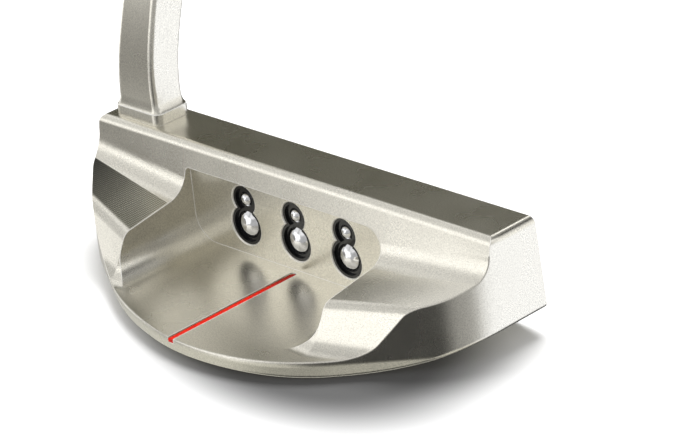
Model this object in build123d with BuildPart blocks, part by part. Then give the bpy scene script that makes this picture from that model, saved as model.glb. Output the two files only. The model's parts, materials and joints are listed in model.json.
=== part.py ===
"""Mallet putter: milled stainless head, bent square neck, stepped steel shaft and rubber grip.

Frame: millimetres, +Z up from the ground, +X towards the toe, +Y towards the target.
The origin is on the flat of the sole, below the sight line.  The head is described by depth, which
is measured backwards from the top edge of the face, and by height above the ground.
"""

import os
from math import cos, radians, sin, tan

from build123d import *

os.makedirs("parts", exist_ok=True)

# ---- Head outline ----
face_y = 20.0  # y of the top edge of the face
heel_x = -56.0
toe_x = 53.6
head_depth = 47.1  # depth of the rim at the back
loft_angle = 4.0
toe_corner_round = 20.0
heel_corner_round = 12.0
rail_height = 24.5
flange_height = 4.0  # top of the floor behind the face

# ---- Rail and wings ----
rail_corner_depth = 11.7
rail_round = 2.0
end_round = 1.5  # rounding between the rail and the end walls
back_lean = 20.0  # lean of the upper back face from vertical, degrees
wing_reach = 58.0  # distance from the middle at which the wing section is set
pocket_heel_x = -28.9
pocket_toe_x = 27.2
shelf_round = 3.0
foot_round = 4.5

# ---- Pocket ----
panel_depth = 12.3
pocket_top = 19.8
pocket_round = 5.5
pocket_heel_top_round = 0.8
pocket_toe_top_round = 6.0

# ---- Sole ----
bevel_height = 3.2
bevel_inset = 0.9
bevel_round = 3.0  # the wall turns softly into the bevel
sole_flat_half = 33.0
sole_heel_radius = 38.0
sole_toe_radius = 42.0
sole_back_start = 35.0
sole_back_radius = 80.0
toe_foot_start = 49.0
toe_foot_top = 8.0
toe_foot_round = 1.0
rim_round = 0.25
rim_heel_end = -28.0  # the soft edge of the rim starts here
steep = 0.95  # edges that rise more than this are corners and stay sharp
touch = 0.01  # how near counts as touching when edges are picked
beyond = 1.0  # how far a cutting shape reaches past the metal

# ---- Weight plugs ----
plug_spacing = 14.0
upper_radius = 3.09
upper_height = 15.7
lower_radius = 4.06
lower_height = 10.22
seat_recess = 1.7  # depth of the recess in the panel
seat_edge = 0.2  # chamfer round the recess
seat_floor = 0.9
seat_wall = 0.55
seat_below_panel = 0.25
upper_dome_radius = 1.6
upper_dome_rise = 0.75
lower_dome_radius = 2.9
lower_dome_rise = 1.0
upper_shank_radius = 1.2
lower_shank_radius = 2.0
shank_length = 4.0

# ---- Sight line ----
sight_width = 1.58
sight_groove = 1.0
sight_fill_below = 0.3
sight_start_depth = 13.4
rim_cut = 0.15  # the enamel stops this far inside the rim
trim_block = 20.0  # side of the block that cuts the enamel off there

# ---- Neck ----
neck_x = -46.5
neck_depth = 5.3
collar_length = 13.1
collar_width = 9.2
collar_height = 2.4
collar_round = 1.8
flare_play = 0.15  # the flare starts this far inside the collar
# The foot of the bar flares out to the collar: height above the collar and how far it stands out.
collar_flare = [(0.0, 0.92), (0.45, 0.5), (1.2, 0.14), (2.2, 0.0)]
neck_length_x = 10.9
neck_length_y = 7.9
neck_corner = 1.0
tenon_radius = 3.6
tenon_length = 9.0
tenon_clearance = 0.5  # between the end of the tenon and its bore
bar_thins_over = 0.45  # the bar reaches its upper width at this fraction of its length
bar_rounds_from = 0.5  # and starts to turn round here
# How far the middle of the bar lies from its foot, towards the toe and the target, at each height.
neck_bends = [
    (0.5, 1.6, 42.5),
    (0.5, 5.6, 55.5),
    (-1.2, 9.7, 67.0),
    (-3.8, 12.6, 78.0),
]
neck_top_height = 88.5
neck_top_y = face_y + 8.2
neck_top_x = -53.8

# ---- Shaft ----
lie_angle = 70.0
club_length = 864.0  # along the shaft, from the ground to the end of the cap
tip_radius = 4.7
tip_length = 215.0
step_count = 10
step_pitch = 30.0
step_rise = 0.27
step_taper = 1.5
shaft_wall = 0.6
post_length = 24.0
bond_gap = 0.12

# ---- Grip ----
grip_length = 262.0
tape_thickness = 0.35
cap_length = 4.5
cap_plug_length = 8.0
cap_round = 3.0
vent_radius = 1.5
band_length = 22.0
band_gap = 12.0
band_thickness = 0.15


def back(depth):
    """The y of a point that lies this far behind the top edge of the face."""
    return face_y - depth


# ---- Wing section: depth and height of its corners beside the pocket and at the outer end ----
inner_scoop = [(14.1, 17.7), (15.4, 15.75), (19.0, 14.1)]
outer_scoop = [(12.35, 21.7), (13.1, 18.9), (14.9, 17.0)]
inner_shelf = [(31.2, 12.3), (35.4, flange_height)]
outer_shelf = [(21.9, 14.1), (25.9, flange_height)]
section_front = -10.0
section_back = 75.0
section_top = 45.0


def rail_arc():
    """Three points of the rounding along the rear edge of the rail, as depth and height."""
    turn = radians(90.0 - back_lean)
    setback = rail_round * tan(turn / 2.0)
    start = (rail_corner_depth - setback, rail_height)
    centre = (start[0], rail_height - rail_round)
    middle = (centre[0] + rail_round * sin(turn / 2), centre[1] + rail_round * cos(turn / 2))
    end = (centre[0] + rail_round * sin(turn), centre[1] + rail_round * cos(turn))
    return start, middle, end


def section_wire(scoop, shelf):
    """The line of the rail, scoop, shelf and floor, closed above: the space over the wings."""
    start, middle, end = rail_arc()

    def at(point):
        return (back(point[0]), point[1])

    Line(at((section_front, rail_height)), at(start))
    ThreePointArc(at(start), at(middle), at(end))
    Line(at(end), at(scoop[0]))
    ThreePointArc(at(scoop[0]), at(scoop[1]), at(scoop[2]))
    floor_end = (section_back, flange_height)
    corners = [scoop[2], shelf[0], shelf[1], floor_end]
    FilletPolyline(*[at(c) for c in corners], radius=[shelf_round, foot_round])
    Polyline(
        at(floor_end),
        at((section_back, section_top)),
        at((section_front, section_top)),
        at((section_front, rail_height)),
    )


# ---- Head body ----
front = face_y + 3.0  # the blank is trimmed to the face below
wide = 140.0  # longer than the head, for cuts that run right through


def figure_eight(x, grow=0.0):
    """Two overlapping circles, one above the other, each grown by the same amount."""
    with Locations((x, upper_height)):
        Circle(upper_radius + grow)
    with Locations((x, lower_height)):
        Circle(lower_radius + grow)


plug_x = {"heel": -plug_spacing, "centre": 0.0, "toe": plug_spacing}
panel = Plane.XZ.offset(-back(panel_depth))  # faces the back of the head
recess_floor = panel.offset(-seat_recess)

with BuildPart() as head_body:
    with BuildSketch():
        with BuildLine():
            FilletPolyline(
                (toe_x, front),
                (toe_x, back(17.4)),
                (26.3, back(42.9)),
                (4.5, back(49.2)),
                (-20.6, back(41.8)),
                (-43.0, back(27.5)),
                (heel_x, back(14.6)),
                (heel_x, front),
                radius=[toe_corner_round, 36.0, 46.0, 70.0, 70.0, heel_corner_round],
            )
            Line((heel_x, front), (toe_x, front))
        make_face()
    extrude(amount=rail_height)
    ends = [e for e in edges().group_by(Axis.Z)[-1] if e.center().Y < front - beyond]
    fillet(ends, radius=end_round)
    # The lower wall turns in under the rim.
    base = faces().sort_by(Axis.Z)[0]
    bottom = [e for e in base.edges() if e.center().Y < front - beyond]
    chamfer(bottom, length=bevel_inset, length2=bevel_height, reference=base)
    turn = [e for e in edges() if abs(e.center().Z - bevel_height) < touch]
    fillet(turn, radius=bevel_round)

    # Space over the wings: level beside the pocket, rising outward on both wings.
    for side, pocket_x in ((-1, pocket_heel_x), (1, pocket_toe_x)):
        with BuildSketch(Plane.YZ.offset(pocket_x)):
            with BuildLine():
                section_wire(inner_scoop, inner_shelf)
            make_face()
        with BuildSketch(Plane.YZ.offset(side * wing_reach)):
            with BuildLine():
                section_wire(outer_scoop, outer_shelf)
            make_face()
        loft(ruled=True, mode=Mode.SUBTRACT)
    with BuildSketch(Plane.YZ.offset(pocket_heel_x)):
        with BuildLine():
            section_wire(inner_scoop, inner_shelf)
        make_face()
    extrude(amount=pocket_toe_x - pocket_heel_x, mode=Mode.SUBTRACT)

    # Pocket between the wings, from the panel out through the back.
    with BuildSketch(panel):
        with BuildLine():
            FilletPolyline(
                (0, pocket_top),
                (pocket_heel_x, pocket_top),
                (pocket_heel_x, flange_height),
                (pocket_toe_x, flange_height),
                (pocket_toe_x, pocket_top),
                (beyond, pocket_top),
                radius=[pocket_heel_top_round, pocket_round, pocket_round, pocket_toe_top_round],
            )
            Line((beyond, pocket_top), (0, pocket_top))
        make_face()
    extrude(amount=wide, mode=Mode.SUBTRACT)

    # Face, tilted back by the loft.
    with BuildSketch(Plane.YZ.offset(-wide / 2)):
        with BuildLine():
            run = (rail_height + beyond) * tan(radians(loft_angle))
            Polyline(
                (face_y, rail_height),
                (face_y + run, -beyond),
                (face_y + wide, -beyond),
                (face_y + wide, rail_height + beyond),
                (face_y, rail_height + beyond),
                close=True,
            )
        make_face()
    extrude(amount=wide, mode=Mode.SUBTRACT)

    # Soft edge along the rim behind the pocket and up the toe wing.
    wall = [f for f in faces() if bevel_height < f.bounding_box().min.Z < flange_height - touch]
    rim = [
        e
        for f in wall
        for e in f.edges()
        if e.center().Z > flange_height - touch
        and e.center().X > rim_heel_end
        and abs(e.tangent_at(0.5).Z) < steep
        and e.center().Z < rail_height - end_round - beyond
    ]
    fillet(rim, radius=rim_round)

    # Sole: flat in the middle, rising to the heel, the toe and the back.
    with BuildSketch(Plane.XZ.offset(-wide / 2)):
        for side, end_radius in ((-1, sole_heel_radius), (1, sole_toe_radius)):
            with BuildLine():
                start = (side * sole_flat_half, 0)
                finish = (side * (sole_flat_half + end_radius), end_radius)
                corner = (finish[0], 0)
                RadiusArc(start, finish, -side * end_radius)
                Polyline(finish, corner, start)
            make_face()
    extrude(amount=wide, mode=Mode.SUBTRACT)
    with BuildSketch(Plane.YZ.offset(-wide / 2)):
        with BuildLine():
            start = (back(sole_back_start), 0)
            finish = (back(sole_back_start + sole_back_radius), sole_back_radius)
            corner = (finish[0], 0)
            RadiusArc(start, finish, sole_back_radius)
            Polyline(finish, corner, start)
        make_face()
    extrude(amount=wide, mode=Mode.SUBTRACT)

    # Rounded lower edge at the toe.
    toe_foot = [
        e
        for e in edges().filter_by(lambda e: abs(e.tangent_at(0.5).Z) < steep)
        if e.center().X > toe_foot_start and e.center().Z < toe_foot_top and e.center().Y < face_y - beyond
    ]
    fillet(toe_foot, radius=toe_foot_round)

    # Recesses of the weight plugs, the bores behind them and the sight line's groove.
    with BuildSketch(recess_floor):
        for x in plug_x.values():
            figure_eight(x)
    extrude(amount=seat_recess, mode=Mode.SUBTRACT)
    recess_edges = [
        e
        for e in edges().filter_by_position(Axis.Y, panel.origin.Y - touch, panel.origin.Y + touch)
        if e.geom_type == GeomType.CIRCLE and upper_radius - 0.1 < e.radius < lower_radius + 0.1
    ]
    chamfer(recess_edges, length=seat_edge)
    with BuildSketch(recess_floor):
        for x in plug_x.values():
            with Locations((x, upper_height)):
                Circle(upper_shank_radius)
            with Locations((x, lower_height)):
                Circle(lower_shank_radius)
    extrude(amount=-shank_length, mode=Mode.SUBTRACT)
    groove_end = head_depth + sight_width
    groove_length = groove_end - sight_start_depth
    groove_middle = (groove_end + sight_start_depth) / 2
    with BuildSketch(Plane.XY.offset(flange_height)):
        with Locations((0, back(groove_middle))):
            SlotOverall(groove_length, sight_width, rotation=90)
    extrude(amount=-sight_groove, mode=Mode.SUBTRACT)
    # Bore for the tenon of the neck.
    with BuildSketch(Plane.XY.offset(rail_height)):
        with Locations((neck_x, back(neck_depth))):
            Circle(tenon_radius)
    extrude(amount=-tenon_length, mode=Mode.SUBTRACT)

head_body.part.label = "head_body"
export_step(head_body.part, "parts/head_body.step")


# ---- Weight plugs: a black seat for each pair, and a polished domed plug in each circle ----
seat_face = recess_floor.offset(seat_floor)
plug_rows = {
    "upper": (upper_height, upper_dome_radius, upper_dome_rise, upper_shank_radius),
    "lower": (lower_height, lower_dome_radius, lower_dome_rise, lower_shank_radius),
}
for name, x in plug_x.items():
    with BuildPart() as plug_seat:
        with BuildSketch(recess_floor):
            figure_eight(x)
        extrude(amount=seat_recess - seat_below_panel)
        with BuildSketch(seat_face):
            figure_eight(x, -seat_wall)
        extrude(amount=seat_recess, mode=Mode.SUBTRACT)
        for height, radius, rise, shank in plug_rows.values():
            with BuildSketch(recess_floor):
                with Locations((x, height)):
                    Circle(shank)
            extrude(amount=seat_floor, mode=Mode.SUBTRACT)
    plug_seat.part.label = "plug_seat_" + name
    export_step(plug_seat.part, "parts/plug_seat_" + name + ".step")

    for row, (height, radius, rise, shank) in plug_rows.items():
        centre = seat_face.from_local_coords((x, height, 0))
        sphere_radius = (radius * radius + rise * rise) / (2 * rise)
        shank_end = -seat_floor - shank_length
        with BuildPart() as plug:
            with BuildSketch(Plane(centre, x_dir=(1, 0, 0), z_dir=(0, 0, -1))):
                with BuildLine():
                    RadiusArc((0, rise), (radius, 0), sphere_radius)
                    Polyline((radius, 0), (shank, 0), (shank, shank_end), (0, shank_end), (0, rise))
                make_face()
            revolve(axis=Axis(centre, (0, -1, 0)))
        plug.part.label = row + "_plug_" + name
        export_step(plug.part, "parts/" + row + "_plug_" + name + ".step")


# ---- Sight line: red enamel in the groove ----
with BuildPart() as sight_line_fill:
    with BuildSketch(Plane.XY.offset(flange_height - sight_groove)):
        with Locations((0, back(groove_middle))):
            SlotOverall(groove_length, sight_width, rotation=90)
    extrude(amount=sight_groove - sight_fill_below)
    # Cut off flush with the rim.
    with BuildSketch(Plane.XY):
        with Locations((0, back(head_depth - rim_cut + trim_block / 2))):
            Rectangle(trim_block, trim_block)
    extrude(amount=rail_height, mode=Mode.SUBTRACT)
sight_line_fill.part.label = "sight_line_fill"
export_step(sight_line_fill.part, "parts/sight_line_fill.step")


# ---- Neck: collar, bent square bar, round shoulder and post ----
neck_y = back(neck_depth)
collar_top = rail_height + collar_height
shaft_direction = Vector(-cos(radians(lie_angle)), 0, sin(radians(lie_angle)))
neck_foot = Vector(neck_x, neck_y, collar_top + collar_flare[-1][0])
neck_top = Vector(neck_top_x, neck_top_y, neck_top_height)
bar_line = Spline(
    neck_foot,
    *[(neck_x + dx, neck_y + dy, z) for dx, dy, z in neck_bends],
    neck_top,
    tangents=[(0, 0, 1), shaft_direction],
)
bar_sections = 12
shoulder_side = 2 * tip_radius
shoulder_corner = tip_radius - 0.05  # a rounded square, so that its sides match the bar's
post_radius = tip_radius - shaft_wall - bond_gap


def bar_plane(t):
    """The plane across the bar at a fraction of its length, with its x towards the toe."""
    direction = bar_line % t
    across = Vector(1, 0, 0) - direction * direction.X
    return Plane(bar_line @ t, x_dir=across, z_dir=direction)


def along(distance):
    """The plane across the shaft at this distance from its tip, which rests on the shoulder."""
    x_dir = (sin(radians(lie_angle)), 0, cos(radians(lie_angle)))
    return Plane(neck_top + shaft_direction * distance, x_dir=x_dir, z_dir=shaft_direction)


with BuildPart() as neck:
    for i in range(bar_sections + 1):
        t = i / bar_sections
        thinned = sin(radians(90.0) * min(1.0, t / bar_thins_over))
        rounded = max(0.0, (t - bar_rounds_from) / (1.0 - bar_rounds_from))
        with BuildSketch(bar_plane(t)):
            RectangleRounded(
                neck_length_x + (shoulder_side - neck_length_x) * thinned,
                neck_length_y + (shoulder_side - neck_length_y) * t,
                neck_corner + (shoulder_corner - neck_corner) * rounded,
            )
    loft()
    with BuildSketch(Plane.XY.offset(rail_height)):
        with Locations((neck_x, neck_y)):
            RectangleRounded(collar_length, collar_width, collar_round)
    extrude(amount=collar_height)
    for above, reach in collar_flare:
        share = reach / collar_flare[0][1]
        with BuildSketch(Plane.XY.offset(collar_top + above)):
            with Locations((neck_x, neck_y)):
                RectangleRounded(
                    neck_length_x + (collar_length - neck_length_x - 2 * flare_play) * share,
                    neck_length_y + (collar_width - neck_length_y - 2 * flare_play) * share,
                    neck_corner + (collar_round - flare_play - neck_corner) * share,
                )
    loft()
    with BuildSketch(Plane.XY.offset(rail_height)):
        with Locations((neck_x, neck_y)):
            Circle(tenon_radius)
    extrude(amount=tenon_clearance - tenon_length)
    with BuildSketch(along(0)):
        Circle(post_radius)
    extrude(amount=post_length)
neck.part.label = "neck"
export_step(neck.part, "parts/neck.step")


# ---- Shaft: stepped steel tube over the post, bonded to it ----
ground_to_tip = neck_top_height / sin(radians(lie_angle))
shaft_length = club_length - ground_to_tip - cap_length
butt_radius = tip_radius + step_count * step_rise
shaft_profile = Plane(neck_top, x_dir=along(0).x_dir, z_dir=(0, -1, 0))
shaft_axis = Axis(neck_top, shaft_direction)


def stepped(inset):
    """Points of the stepped wall from tip to butt, moved in by a wall thickness."""
    points = [(tip_radius - inset, 0.0)]
    for i in range(step_count):
        station = tip_length + i * step_pitch
        radius = tip_radius + i * step_rise - inset
        points.append((radius, station))
        points.append((radius + step_rise, station + step_taper))
    points.append((butt_radius - inset, shaft_length))
    return points


with BuildPart() as shaft:
    with BuildSketch(shaft_profile):
        with BuildLine():
            outside = stepped(0.0)
            inside = stepped(shaft_wall)
            Polyline(*outside, *reversed(inside), close=True)
        make_face()
    revolve(axis=shaft_axis)
shaft.part.label = "shaft"
export_step(shaft.part, "parts/shaft.step")

with BuildPart() as shaft_bond:
    with BuildSketch(along(0)):
        Circle(tip_radius - shaft_wall)
        Circle(post_radius, mode=Mode.SUBTRACT)
    extrude(amount=post_length)
shaft_bond.part.label = "shaft_bond"
export_step(shaft_bond.part, "parts/shaft_bond.step")


# ---- Grip: tape on the shaft, moulded rubber grip, end cap and a plain band below ----
tape_radius = butt_radius + tape_thickness
grip_start = shaft_length - grip_length

with BuildPart() as grip_tape:
    with BuildSketch(along(grip_start)):
        Circle(tape_radius)
        Circle(butt_radius, mode=Mode.SUBTRACT)
    extrude(amount=grip_length)
grip_tape.part.label = "grip_tape"
export_step(grip_tape.part, "parts/grip_tape.step")

# Each section of the grip: part of its length, thickness, width, and rounding at the flat and behind.
grip_sections = [
    (0.0, 19.4, 19.4, 5.0, 9.2),
    (0.06, 20.4, 20.6, 4.2, 9.6),
    (0.3, 22.4, 22.6, 3.8, 10.4),
    (0.6, 25.4, 24.4, 3.8, 11.4),
    (0.82, 29.6, 25.4, 4.0, 12.0),
    (0.94, 31.6, 25.0, 4.4, 12.0),
    (1.0, 31.0, 24.4, 4.6, 11.8),
]
flat_offset = 9.4  # the flat lies this far from the shaft's axis, on the side away from the player


def grip_outline(section):
    """The rounded outline of one section of the grip, flat on the side away from the player."""
    part_way, thickness, width, flat_round, back_round = section
    low = flat_offset - thickness
    half = width / 2
    last = (flat_offset, -half / 5)
    FilletPolyline(
        (flat_offset, 0),
        (flat_offset, half),
        (low, half),
        (low, -half),
        (flat_offset, -half),
        last,
        radius=[flat_round, back_round, back_round, flat_round],
    )
    Line(last, (flat_offset, 0))


with BuildPart() as grip:
    for section in grip_sections:
        with BuildSketch(along(grip_start + section[0] * grip_length)):
            with BuildLine():
                grip_outline(section)
            make_face()
    loft()
    with BuildSketch(along(grip_start)):
        Circle(tape_radius)
    extrude(amount=grip_length, mode=Mode.SUBTRACT)
grip.part.label = "grip"
export_step(grip.part, "parts/grip.step")


# Cap: a moulded disc over the end of the grip with a plug in the shaft and a vent hole.
with BuildPart() as grip_cap:
    with BuildSketch(along(shaft_length)):
        with BuildLine():
            grip_outline(grip_sections[-1])
        make_face()
    extrude(amount=cap_length)
    top_edges = faces().sort_by(shaft_axis)[-1].edges()
    fillet(top_edges, radius=cap_round)
    with BuildSketch(along(shaft_length - cap_plug_length)):
        Circle(butt_radius - shaft_wall)
    extrude(amount=cap_plug_length)
    with BuildSketch(along(shaft_length - cap_plug_length)):
        Circle(vent_radius)
    extrude(amount=cap_plug_length + cap_length, mode=Mode.SUBTRACT)
grip_cap.part.label = "grip_cap"
export_step(grip_cap.part, "parts/grip_cap.step")

# Band: a plain protective sleeve on the shaft below the grip.
band_start = grip_start - band_gap - band_length
with BuildPart() as shaft_band:
    with BuildSketch(along(band_start)):
        Circle(butt_radius + band_thickness)
        Circle(butt_radius, mode=Mode.SUBTRACT)
    extrude(amount=band_length)
shaft_band.part.label = "shaft_band"
export_step(shaft_band.part, "parts/shaft_band.step")
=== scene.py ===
"""Looks of the mallet putter: materials for the CAD nodes, camera, floor and studio light."""

import json
from math import cos, pi, radians, sin

import bmesh
import bpy
from mathutils import Matrix, Vector


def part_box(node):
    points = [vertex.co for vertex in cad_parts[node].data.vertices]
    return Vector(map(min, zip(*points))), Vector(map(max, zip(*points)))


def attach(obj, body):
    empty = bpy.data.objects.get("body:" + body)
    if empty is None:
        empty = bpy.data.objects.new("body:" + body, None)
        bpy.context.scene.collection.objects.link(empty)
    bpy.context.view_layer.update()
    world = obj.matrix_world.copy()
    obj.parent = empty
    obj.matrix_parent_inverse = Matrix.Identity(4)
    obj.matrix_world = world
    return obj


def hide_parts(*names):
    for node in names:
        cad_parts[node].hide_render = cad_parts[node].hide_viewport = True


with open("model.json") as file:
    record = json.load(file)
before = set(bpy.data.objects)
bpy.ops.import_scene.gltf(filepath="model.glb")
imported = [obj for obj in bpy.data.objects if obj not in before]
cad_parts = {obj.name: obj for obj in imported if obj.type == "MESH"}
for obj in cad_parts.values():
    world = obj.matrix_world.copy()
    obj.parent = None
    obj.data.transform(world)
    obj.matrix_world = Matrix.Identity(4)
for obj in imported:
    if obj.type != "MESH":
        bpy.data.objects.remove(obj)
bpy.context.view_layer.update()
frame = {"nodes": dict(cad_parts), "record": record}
nodes = frame["nodes"]
scene = bpy.context.scene

# ---- Camera: lengths in metres, angles in degrees ----
view_azimuth = 47.44
view_elevation = 24.58
view_roll = -6.29
camera_place = Vector((0.50343, -0.44277, 0.32365))
camera_lens = 202.76  # millimetres, for a frame 36 mm wide
camera_frame = 36.0
nearest_seen = 0.01


def place_camera():
    """The photograph's view: high behind the toe, rolled a little."""
    azimuth, elevation, roll = radians(view_azimuth), radians(view_elevation), radians(view_roll)
    out = Vector((sin(azimuth), -cos(azimuth), 0.0))
    backward = out * cos(elevation) + Vector((0.0, 0.0, sin(elevation)))
    level = Vector((cos(azimuth), sin(azimuth), 0.0))
    upward = backward.cross(level)
    camera_x = level * cos(roll) + upward * sin(roll)
    camera_y = upward * cos(roll) - level * sin(roll)
    data = bpy.data.cameras.new("camera")
    data.lens = camera_lens
    data.sensor_width = camera_frame
    data.clip_start = nearest_seen
    camera = bpy.data.objects.new("camera", data)
    scene.collection.objects.link(camera)
    turn = Matrix((camera_x, camera_y, backward)).transposed().to_4x4()
    camera.matrix_world = Matrix.Translation(camera_place) @ turn
    scene.camera = camera


place_camera()


# ---- Steps that the node materials are made of ----
def put(tree, socket, value):
    """Links a value into a socket, or sets the socket to a number, a vector or a colour."""
    if isinstance(value, bpy.types.NodeSocket):
        tree.links.new(value, socket)
    elif socket.type == "RGBA":
        socket.default_value = (*value, 1.0)
    else:
        socket.default_value = value


def maths(tree, operation, *values):
    """A sum, product or the like of values."""
    made = tree.nodes.new("ShaderNodeMath")
    made.operation = operation
    for socket, value in zip(made.inputs, values):
        put(tree, socket, value)
    return made.outputs["Value"]


def vector_maths(tree, operation, *values):
    """The same of vectors; a dot product or a length gives a value."""
    made = tree.nodes.new("ShaderNodeVectorMath")
    made.operation = operation
    for socket, value in zip(made.inputs, values):
        put(tree, socket, value)
    return made.outputs["Value" if operation in ("DOT_PRODUCT", "LENGTH") else "Vector"]


def coordinates(tree, kind="Object"):
    """Places on the object, in its own metres, or directions, for the world."""
    return tree.nodes.new("ShaderNodeTexCoord").outputs[kind]


def true_normal(tree):
    """The surface's own direction, before any relief."""
    return tree.nodes.new("ShaderNodeNewGeometry").outputs["Normal"]


def noise(tree, scale, detail=2.0, roughness=0.5):
    """Noise in the object's own metres, from 0 to 1."""
    made = tree.nodes.new("ShaderNodeTexNoise")
    made.inputs["Scale"].default_value = scale
    made.inputs["Detail"].default_value = detail
    made.inputs["Roughness"].default_value = roughness
    tree.links.new(coordinates(tree), made.inputs["Vector"])
    return made.outputs["Fac"]


def ramp(tree, value, stops):
    """Colours or greys over a value from 0 to 1."""
    made = tree.nodes.new("ShaderNodeValToRGB")
    elements = made.color_ramp.elements
    while len(elements) < len(stops):
        elements.new(0.5)
    for element, (place, colour) in zip(elements, stops):
        element.position = place
        element.color = (*colour, 1.0)
    tree.links.new(value, made.inputs["Fac"])
    return made.outputs["Color"]


def grey(level):
    return (level, level, level)


def remap(tree, value, before, after, soft=True):
    """Takes a value from one range to another: with soft ends that it stays inside, or straight."""
    made = tree.nodes.new("ShaderNodeMapRange")
    if soft:
        made.interpolation_type = "SMOOTHSTEP"
    else:
        made.clamp = False
    made.inputs["From Min"].default_value, made.inputs["From Max"].default_value = before
    made.inputs["To Min"].default_value, made.inputs["To Max"].default_value = after
    tree.links.new(value, made.inputs["Value"])
    return made.outputs["Result"]


def rises(tree, value, low, high):
    """A soft step from 0 to 1 as a value passes between two limits."""
    return remap(tree, value, (low, high), (0.0, 1.0))


def falls(tree, value, low, high):
    """A soft step from 1 to 0 as a value passes between two limits."""
    return remap(tree, value, (low, high), (1.0, 0.0))


def blend(tree, mode, factor, first, second):
    """Two colours blended by a factor from 0 to 1."""
    made = tree.nodes.new("ShaderNodeMix")
    made.data_type = "RGBA"
    made.blend_type = mode
    put(tree, made.inputs["Factor"], factor)
    put(tree, made.inputs["A"], first)
    put(tree, made.inputs["B"], second)
    return made.outputs["Result"]


def relief(tree, shader, height, strength, depth, under=None):
    """Fine bumps, on the surface's own direction or on another."""
    made = tree.nodes.new("ShaderNodeBump")
    made.inputs["Strength"].default_value = strength
    made.inputs["Distance"].default_value = depth
    tree.links.new(height, made.inputs["Height"])
    if under is not None:
        tree.links.new(under, made.inputs["Normal"])
    tree.links.new(made.outputs["Normal"], shader.inputs["Normal"])


grain_low, grain_high = 0.3, 0.7  # most of a noise's values lie between these


def shades(colour, darker, lighter):
    """Two stops of a ramp over a noise: a darker and a lighter shade of a colour."""
    low = tuple(part * darker for part in colour)
    high = tuple(min(1.0, part * lighter) for part in colour)
    return [(grain_low, low), (grain_high, high)]


def material(name):
    """A new node material with its principled shader and output."""
    made = bpy.data.materials.new(name)
    made.use_nodes = True
    made.node_tree.nodes.clear()
    out = made.node_tree.nodes.new("ShaderNodeOutputMaterial")
    shader = made.node_tree.nodes.new("ShaderNodeBsdfPrincipled")
    made.node_tree.links.new(shader.outputs["BSDF"], out.inputs["Surface"])
    return made, made.node_tree, shader


# ---- The shelf at the heel, cut with fine lines and darkened by painted shade, part of the head's steel: metres ----
shelf_ends_x = (-0.058, -0.0289)  # heel end and pocket end
upper_crease_y = (0.00510, 0.00100)  # depth of each crease at those two ends
lower_crease_y = (-0.00080, -0.01000)
upper_crease_soft = 0.00025
lower_crease_soft = 0.0008
shelf_stops_x = (-0.0294, -0.0290)
shelf_low_z = (0.0095, 0.0105)
shelf_high_z = (0.0195, 0.0205)
# painted shade over the shelf, from darkest at the heel end to lightest at the pocket end
shelf_painted_shade_x = (-0.056, -0.029)
shelf_painted_shade = [(0.0, (0.05, 0.05, 0.045)), (0.5, (0.2, 0.2, 0.18)), (1.0, (0.5, 0.5, 0.46))]
cutter_scale = 680.0
cutter_waver = 0.8
cutter_shades = [(0.0, grey(0.45)), (1.0, grey(1.45))]


def shelf_mask(tree, place):
    """1 on the shelf and 0 elsewhere: between its two slanted creases, in length and in height."""
    x, y, z = place.outputs["X"], place.outputs["Y"], place.outputs["Z"]
    past_upper = maths(tree, "SUBTRACT", y, remap(tree, x, shelf_ends_x, upper_crease_y, soft=False))
    past_lower = maths(tree, "SUBTRACT", y, remap(tree, x, shelf_ends_x, lower_crease_y, soft=False))
    mask = falls(tree, past_upper, -upper_crease_soft, 0.0)
    for edge in (
        rises(tree, past_lower, 0.0, lower_crease_soft),
        falls(tree, x, *shelf_stops_x),
        rises(tree, z, *shelf_low_z),
        falls(tree, z, *shelf_high_z),
    ):
        mask = maths(tree, "MULTIPLY", mask, edge)
    return mask


def shaded_milled_shelf(tree, colour):
    """The shelf as cut, with fine cutter lines both ways, and painted shade that makes it darker than
    the rest, most at its heel end.
    """
    where = coordinates(tree)
    place = tree.nodes.new("ShaderNodeSeparateXYZ")
    tree.links.new(where, place.inputs["Vector"])
    # painted shade: the shelf darker than the rest, most at its heel end
    shaded_milling = ramp(tree, rises(tree, place.outputs["X"], *shelf_painted_shade_x), shelf_painted_shade)
    for side in ("X", "Y"):
        lines = tree.nodes.new("ShaderNodeTexWave")
        lines.bands_direction = side
        lines.inputs["Scale"].default_value = cutter_scale
        lines.inputs["Distortion"].default_value = cutter_waver
        tree.links.new(where, lines.inputs["Vector"])
        shaded_milling = blend(tree, "MULTIPLY", 1.0, shaded_milling, ramp(tree, lines.outputs["Fac"], cutter_shades))
    shaded_milling = blend(tree, "MULTIPLY", 1.0, colour, shaded_milling)
    return blend(tree, "MIX", shelf_mask(tree, place), colour, shaded_milling)


# ---- Stainless steel of the head and neck ----
steel_colour = (0.765, 0.74, 0.66)
steel_shades = (0.76, 1.18)
steel_rough = 0.24
steel_rough_cloud = 0.08
steel_grain = (4200.0, 3.0, 0.65)  # scale, detail and roughness of the noise
steel_cloud_scale = 90.0
steel_relief = 0.16
edge_radius = 0.00024
edge_samples = 8
edge_turn = (0.955, 0.994)  # cosines of the turn at which an edge's painted highlight is full, and none
# painted highlight on edges and creases: its pale colour, and how much rougher and less metallic it
# makes them
edge_highlight_colour = (1.0, 0.985, 0.94)
edge_rougher = 0.35
edge_metallic = 0.25
fine_depth = 0.00003


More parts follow.
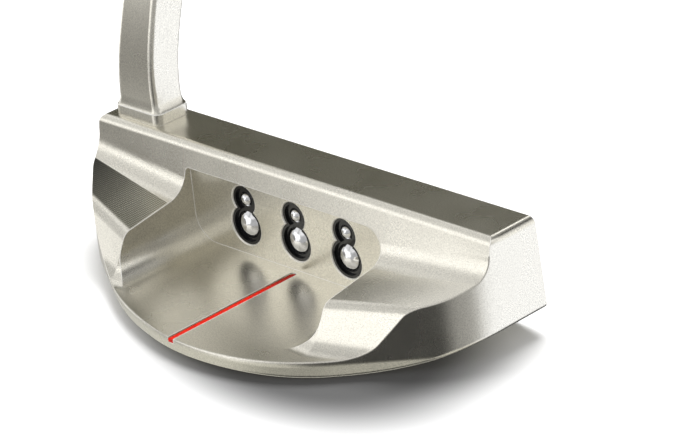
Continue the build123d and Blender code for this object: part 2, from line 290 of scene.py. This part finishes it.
def satin_steel(name):
    """Misted stainless steel: fine grain in colour, gloss and relief, and a painted highlight along
    its edges and creases.
    """
    made, tree, shader = material(name)
    grain = noise(tree, *steel_grain)
    colour = shaded_milled_shelf(tree, ramp(tree, grain, shades(steel_colour, *steel_shades)))

    rounding = tree.nodes.new("ShaderNodeBevel")
    rounding.samples = edge_samples
    rounding.inputs["Radius"].default_value = edge_radius
    rounded = rounding.outputs["Normal"]
    # painted highlight: edges and creases turn pale, rougher and less metallic
    painted_edge_highlight = falls(tree, vector_maths(tree, "DOT_PRODUCT", rounded, true_normal(tree)), *edge_turn)
    with_edge_highlight = blend(tree, "MIX", painted_edge_highlight, colour, edge_highlight_colour)
    tree.links.new(with_edge_highlight, shader.inputs["Base Color"])
    highlight_metallic = ramp(tree, painted_edge_highlight, [(0.0, grey(1.0)), (1.0, grey(edge_metallic))])
    tree.links.new(highlight_metallic, shader.inputs["Metallic"])

    cloud = noise(tree, steel_cloud_scale)
    rough = maths(tree, "MULTIPLY_ADD", cloud, steel_rough_cloud, steel_rough)
    rough = maths(tree, "MULTIPLY_ADD", painted_edge_highlight, edge_rougher, rough)
    tree.links.new(rough, shader.inputs["Roughness"])
    relief(tree, shader, grain, steel_relief, fine_depth, rounded)
    return made


# ---- Everything else ----
common_grain = 2500.0
rubber_grain = 1400.0
plug_grain = 900.0
plug_relief_depth = 0.00004
plug_deeper = 0.6
plug_axis = (0.0, -1.0, 0.0)
gloss_spread = 0.15
gloss_low, gloss_high = 0.2, 0.8


def plain(name, colour, rough, metallic=0.0, gleam=0.5, grain_scale=common_grain,
          vary=0.1, strength=0.1, depth=fine_depth, under=None):
    """A solid material with a little variation in colour, gloss and relief."""
    made, tree, shader = material(name)
    shader.inputs["Metallic"].default_value = metallic
    shader.inputs["Specular IOR Level"].default_value = gleam
    grain = noise(tree, grain_scale)
    tint = ramp(tree, grain, shades(colour, 1.0 - vary, 1.0 + vary))
    tree.links.new(tint, shader.inputs["Base Color"])
    smooth, dull = grey(rough * (1.0 - gloss_spread)), grey(rough * (1.0 + gloss_spread))
    gloss = ramp(tree, grain, [(gloss_low, smooth), (gloss_high, dull)])
    tree.links.new(gloss, shader.inputs["Roughness"])
    relief(tree, shader, grain, strength, depth, under(tree) if under else None)
    return made


def deeper_dome(tree):
    """Directions of a shallow dome tilted further from its axis, so it mirrors like a taller one."""
    more = (1.0 + plug_deeper,) * 3
    back = tuple(-plug_deeper * part for part in plug_axis)
    tilted = vector_maths(tree, "MULTIPLY_ADD", true_normal(tree), more, back)
    return vector_maths(tree, "NORMALIZE", tilted)


looks = {
    "black_seat": dict(colour=(0.006, 0.006, 0.007), rough=0.12),
    "polished_plug": dict(
        colour=(0.82, 0.82, 0.83), rough=0.06, metallic=1.0, grain_scale=plug_grain,
        strength=1.0, depth=plug_relief_depth, under=deeper_dome,
    ),
    "red_enamel": dict(colour=(0.56, 0.012, 0.004), rough=0.35, gleam=0.1, vary=0.3),
    "chromed_shaft": dict(colour=(0.74, 0.74, 0.76), rough=0.08, metallic=1.0),
    "epoxy": dict(colour=(0.7, 0.62, 0.4), rough=0.4),
    "tape": dict(colour=(0.75, 0.72, 0.64), rough=0.8),
    "grip_rubber": dict(
        colour=(0.02, 0.02, 0.021), rough=0.6, grain_scale=rubber_grain, strength=0.6
    ),
    "cap_rubber": dict(
        colour=(0.025, 0.025, 0.026), rough=0.5, grain_scale=rubber_grain, strength=0.3
    ),
    "plain_band": dict(colour=(0.06, 0.06, 0.065), rough=0.3),
}
slots = {name: plain(name, **look) for name, look in looks.items()}
slots["satin_stainless"] = satin_steel("satin_stainless")
for part in frame["record"]["subparts"]:
    mesh = nodes[part["node"]].data
    mesh.materials.clear()
    mesh.polygons.foreach_set("use_smooth", [True] * len(mesh.polygons))
    mesh.materials.append(slots[part["material_slot"]])

# The satin metal is too rough to mirror the thin red line.
nodes["sight_line_fill"].visible_glossy = False


# ---- Domed plugs: the CAD solids again, turned finely enough for a mirror finish ----
turn_steps = 96
dome_steps = 24
shanks = {"upper": 0.0012, "lower": 0.0020}  # radii
seat_floor = 0.0009
shank_length = 0.0040


def plug_profile(low, high, shank):
    """Distance from the axis and place along it, from the dome's tip to the shank's end."""
    radius = (high[0] - low[0]) / 2
    rise = high[1] - low[1] - seat_floor - shank_length
    ball = (radius * radius + rise * rise) / (2 * rise)
    profile = []
    for step in range(1, dome_steps + 1):
        out = radius * step / dome_steps
        profile.append((out, low[1] + ball - (ball * ball - out * out) ** 0.5))
    return profile + [(shank, low[1] + rise), (shank, high[1])]


def turned_plug(name, node, shank):
    """A plug turned about its axis: domed head towards the back of the club, shank in the head."""
    low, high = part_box(node)
    centre_x, centre_z = (low[0] + high[0]) / 2, (low[2] + high[2]) / 2
    made = bmesh.new()
    rings = []
    for out, along in plug_profile(low, high, shank):
        ring = []
        for step in range(turn_steps):
            angle = 2 * pi * step / turn_steps
            x, z = centre_x + out * cos(angle), centre_z + out * sin(angle)
            ring.append(made.verts.new((x, along, z)))
        rings.append(ring)
    tip = made.verts.new((centre_x, low[1], centre_z))
    end = made.verts.new((centre_x, high[1], centre_z))
    for step in range(turn_steps):
        after = (step + 1) % turn_steps
        made.faces.new((tip, rings[0][step], rings[0][after]))
        made.faces.new((end, rings[-1][after], rings[-1][step]))
        for inner, outer in zip(rings, rings[1:]):
            made.faces.new((inner[step], outer[step], outer[after], inner[after]))
    bmesh.ops.recalc_face_normals(made, faces=made.faces)
    under_head = set(rings[dome_steps - 1]) | set(rings[dome_steps])
    for edge in made.edges:
        edge.smooth = not under_head.issuperset(edge.verts)
    for face in made.faces:
        face.smooth = True
    mesh = bpy.data.meshes.new(name)
    made.to_mesh(mesh)
    made.free()
    mesh.materials.append(slots["polished_plug"])
    piece = bpy.data.objects.new(name, mesh)
    scene.collection.objects.link(piece)
    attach(piece, "root")
    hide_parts(node)


for side in ("heel", "centre", "toe"):
    for row, shank in shanks.items():
        turned_plug(f"{row}_plug_turned_{side}", f"{row}_plug_{side}", shank)


# ---- Stage: metres ----
def sheet(name, half, height=0.0):
    """A square about the middle of its object, level until it's turned."""
    corners = [(-half, -half), (half, -half), (half, half), (-half, half)]
    mesh = bpy.data.meshes.new(name)
    mesh.from_pydata([(x, y, height) for x, y in corners], [], [(0, 1, 2, 3)])
    made, tree, shader = material(name)
    shader.inputs["Specular IOR Level"].default_value = 0.0
    mesh.materials.append(made)
    square = bpy.data.objects.new(name, mesh)
    scene.collection.objects.link(square)
    return square, tree, shader


# ---- Floor, with a soft pool of shade under the head: a slanted oval ----
floor_half = 4.0
floor_drop = 0.0001
floor_rough = 0.95
floor_pale = 0.95
shade_dark = 0.12
shade_centre = (0.012, -0.002, 0.0)
shade_half_x = 0.055
shade_half_y = 0.036
shade_slant = 0.2  # the pool reaches further back at the toe
shade_from = 0.60  # shares of the oval between which the shade fades
shade_to = 1.10

floor, floor_tree, floor_shader = sheet("floor", floor_half, -floor_drop)
floor_shader.inputs["Roughness"].default_value = floor_rough
apart = vector_maths(floor_tree, "SUBTRACT", coordinates(floor_tree), shade_centre)
oval = floor_tree.nodes.new("ShaderNodeCombineXYZ")
across = (1.0 / shade_half_x, 0.0, 0.0)
slanted = (shade_slant / shade_half_y, 1.0 / shade_half_y, 0.0)
put(floor_tree, oval.inputs["X"], vector_maths(floor_tree, "DOT_PRODUCT", apart, across))
put(floor_tree, oval.inputs["Y"], vector_maths(floor_tree, "DOT_PRODUCT", apart, slanted))
away = vector_maths(floor_tree, "LENGTH", oval.outputs["Vector"])
shade = remap(floor_tree, away, (shade_from, shade_to), (shade_dark, floor_pale))
floor_tree.links.new(shade, floor_shader.inputs["Base Color"])
floor.visible_glossy = False
floor.visible_shadow = False

# ---- A soft grey screen close behind the heel, seen only in reflections: it shades the heel half ----
screen_half = 0.115
screen_core = 0.06
screen_place = Vector((-0.228, -0.163, -0.002))
screen_looks_at = Vector((-0.045, 0.008, 0.022))
screen_colour = (1.0, 0.98, 0.93)
screen_strength = 0.26

screen, screen_tree, screen_shader = sheet("screen", screen_half)
faces = (screen_looks_at - screen_place).to_track_quat("Z", "Y").to_matrix().to_4x4()
screen.matrix_world = Matrix.Translation(screen_place) @ faces
put(screen_tree, screen_shader.inputs["Base Color"], grey(0.0))
put(screen_tree, screen_shader.inputs["Emission Color"], screen_colour)
screen_shader.inputs["Emission Strength"].default_value = screen_strength
screen_away = vector_maths(screen_tree, "LENGTH", coordinates(screen_tree))
screen_cover = falls(screen_tree, screen_away, screen_core, screen_half)
screen_tree.links.new(screen_cover, screen_shader.inputs["Alpha"])
screen.visible_camera = False
screen.visible_diffuse = False
screen.visible_shadow = False

# ---- Soft lamp over the face side, which the metal doesn't mirror ----
lamp_place = Vector((-0.25, 0.55, 1.3))
lamp_size = 0.7
lamp_power = 22.0

lamp_data = bpy.data.lights.new("overhead", "AREA")
lamp_data.energy = lamp_power
lamp_data.shape = "SQUARE"
lamp_data.size = lamp_size
lamp = bpy.data.objects.new("overhead", lamp_data)
lamp.location = lamp_place
lamp.rotation_euler = (-lamp_place).to_track_quat("-Z", "Y").to_euler()
lamp.visible_camera = False
lamp.visible_glossy = False
scene.collection.objects.link(lamp)

# ---- The studio round the object, painted as soft round cards that the metal mirrors ----
world = bpy.data.worlds.new("studio")
scene.world = world
world.use_nodes = True
sky = world.node_tree
direction = coordinates(sky, "Generated")


def tone(level, warmth=0.0):
    """A grey of this level, made warmer by taking out blue and a little green."""
    return (level, level * (1.0 - 0.1 * warmth), level * (1.0 - warmth))


def card(under, direction_round, height, core, fade, colour):
    """Paints a card over what is under it; core and fade are angles from its middle."""
    turned, raised = radians(direction_round), radians(height)
    aim = (cos(turned) * cos(raised), sin(turned) * cos(raised), sin(raised))
    facing = vector_maths(sky, "DOT_PRODUCT", direction, aim)
    cover = rises(sky, facing, cos(radians(fade)), cos(radians(core)))
    return blend(sky, "MIX", cover, under, colour)


# Each card: its direction round the object (0 at the toe, 90 at the face, -90 at the back), its
# height, core and fade, all in degrees, and its colour.  A later card covers an earlier one.
cards = [
    (0, -90, 50, 72, tone(0.72, 0.1)),  # under the club, for the bevel
    (-75, 52, 12, 28, tone(0.9)),  # high at the back
    (96, 12, 24, 46, tone(0.06, 0.35)),  # dark beyond the face
    (162, 44, 9, 22, tone(1.1)),  # for the toe shelf
    (138, 24, 14, 22, tone(0.045, 0.6)),  # dark, for the rail's top
    (-150, 38, 12, 30, tone(0.86)),  # for the heel scoop
    (-134, 16, 11, 24, tone(1.5)),  # for the fillet along the rail
    (-122, -2, 5, 14, tone(1.7)),  # for the toe scoop
    (-106, 16, 12, 28, tone(1.5)),  # for the toe wing's curved step
    (-170, -6, 6, 18, tone(1.6)),  # for the heel end of the wings
    (-15, -27, 8, 22, tone(0.36)),  # grey, for the middle of the outer wall
    (46, -24, 24, 44, (1.3, 1.33, 1.42)),  # cool white, for the outer wall's toe end
    (44, 8, 10, 24, tone(1.2)),  # for the rail's toe end
    (32, 40, 6, 16, tone(1.5)),  # the same, higher
    (71, 43, 7, 15, tone(0.02)),  # dark strip at the rail's toe end
    (123, 41, 4, 12, tone(2.0)),  # light strip beside it
    (-112, -25, 4, 14, tone(1.5)),  # for the foot of the pocket's heel wall
    (-51, -30, 15, 25, tone(0.0)),  # black, for the outer wall's back end
    (92, -52, 16, 30, tone(0.02)),  # dark, for the foot of the outer wall
    (-110, -76, 14, 28, tone(0.02)),  # the same, further down
]
studio = tone(0.5)
for place in cards:
    studio = card(studio, *place)
background = sky.nodes["Background"]
sky.links.new(studio, background.inputs["Color"])
background.inputs["Strength"].default_value = 1.0

scene.view_settings.view_transform = "Standard"
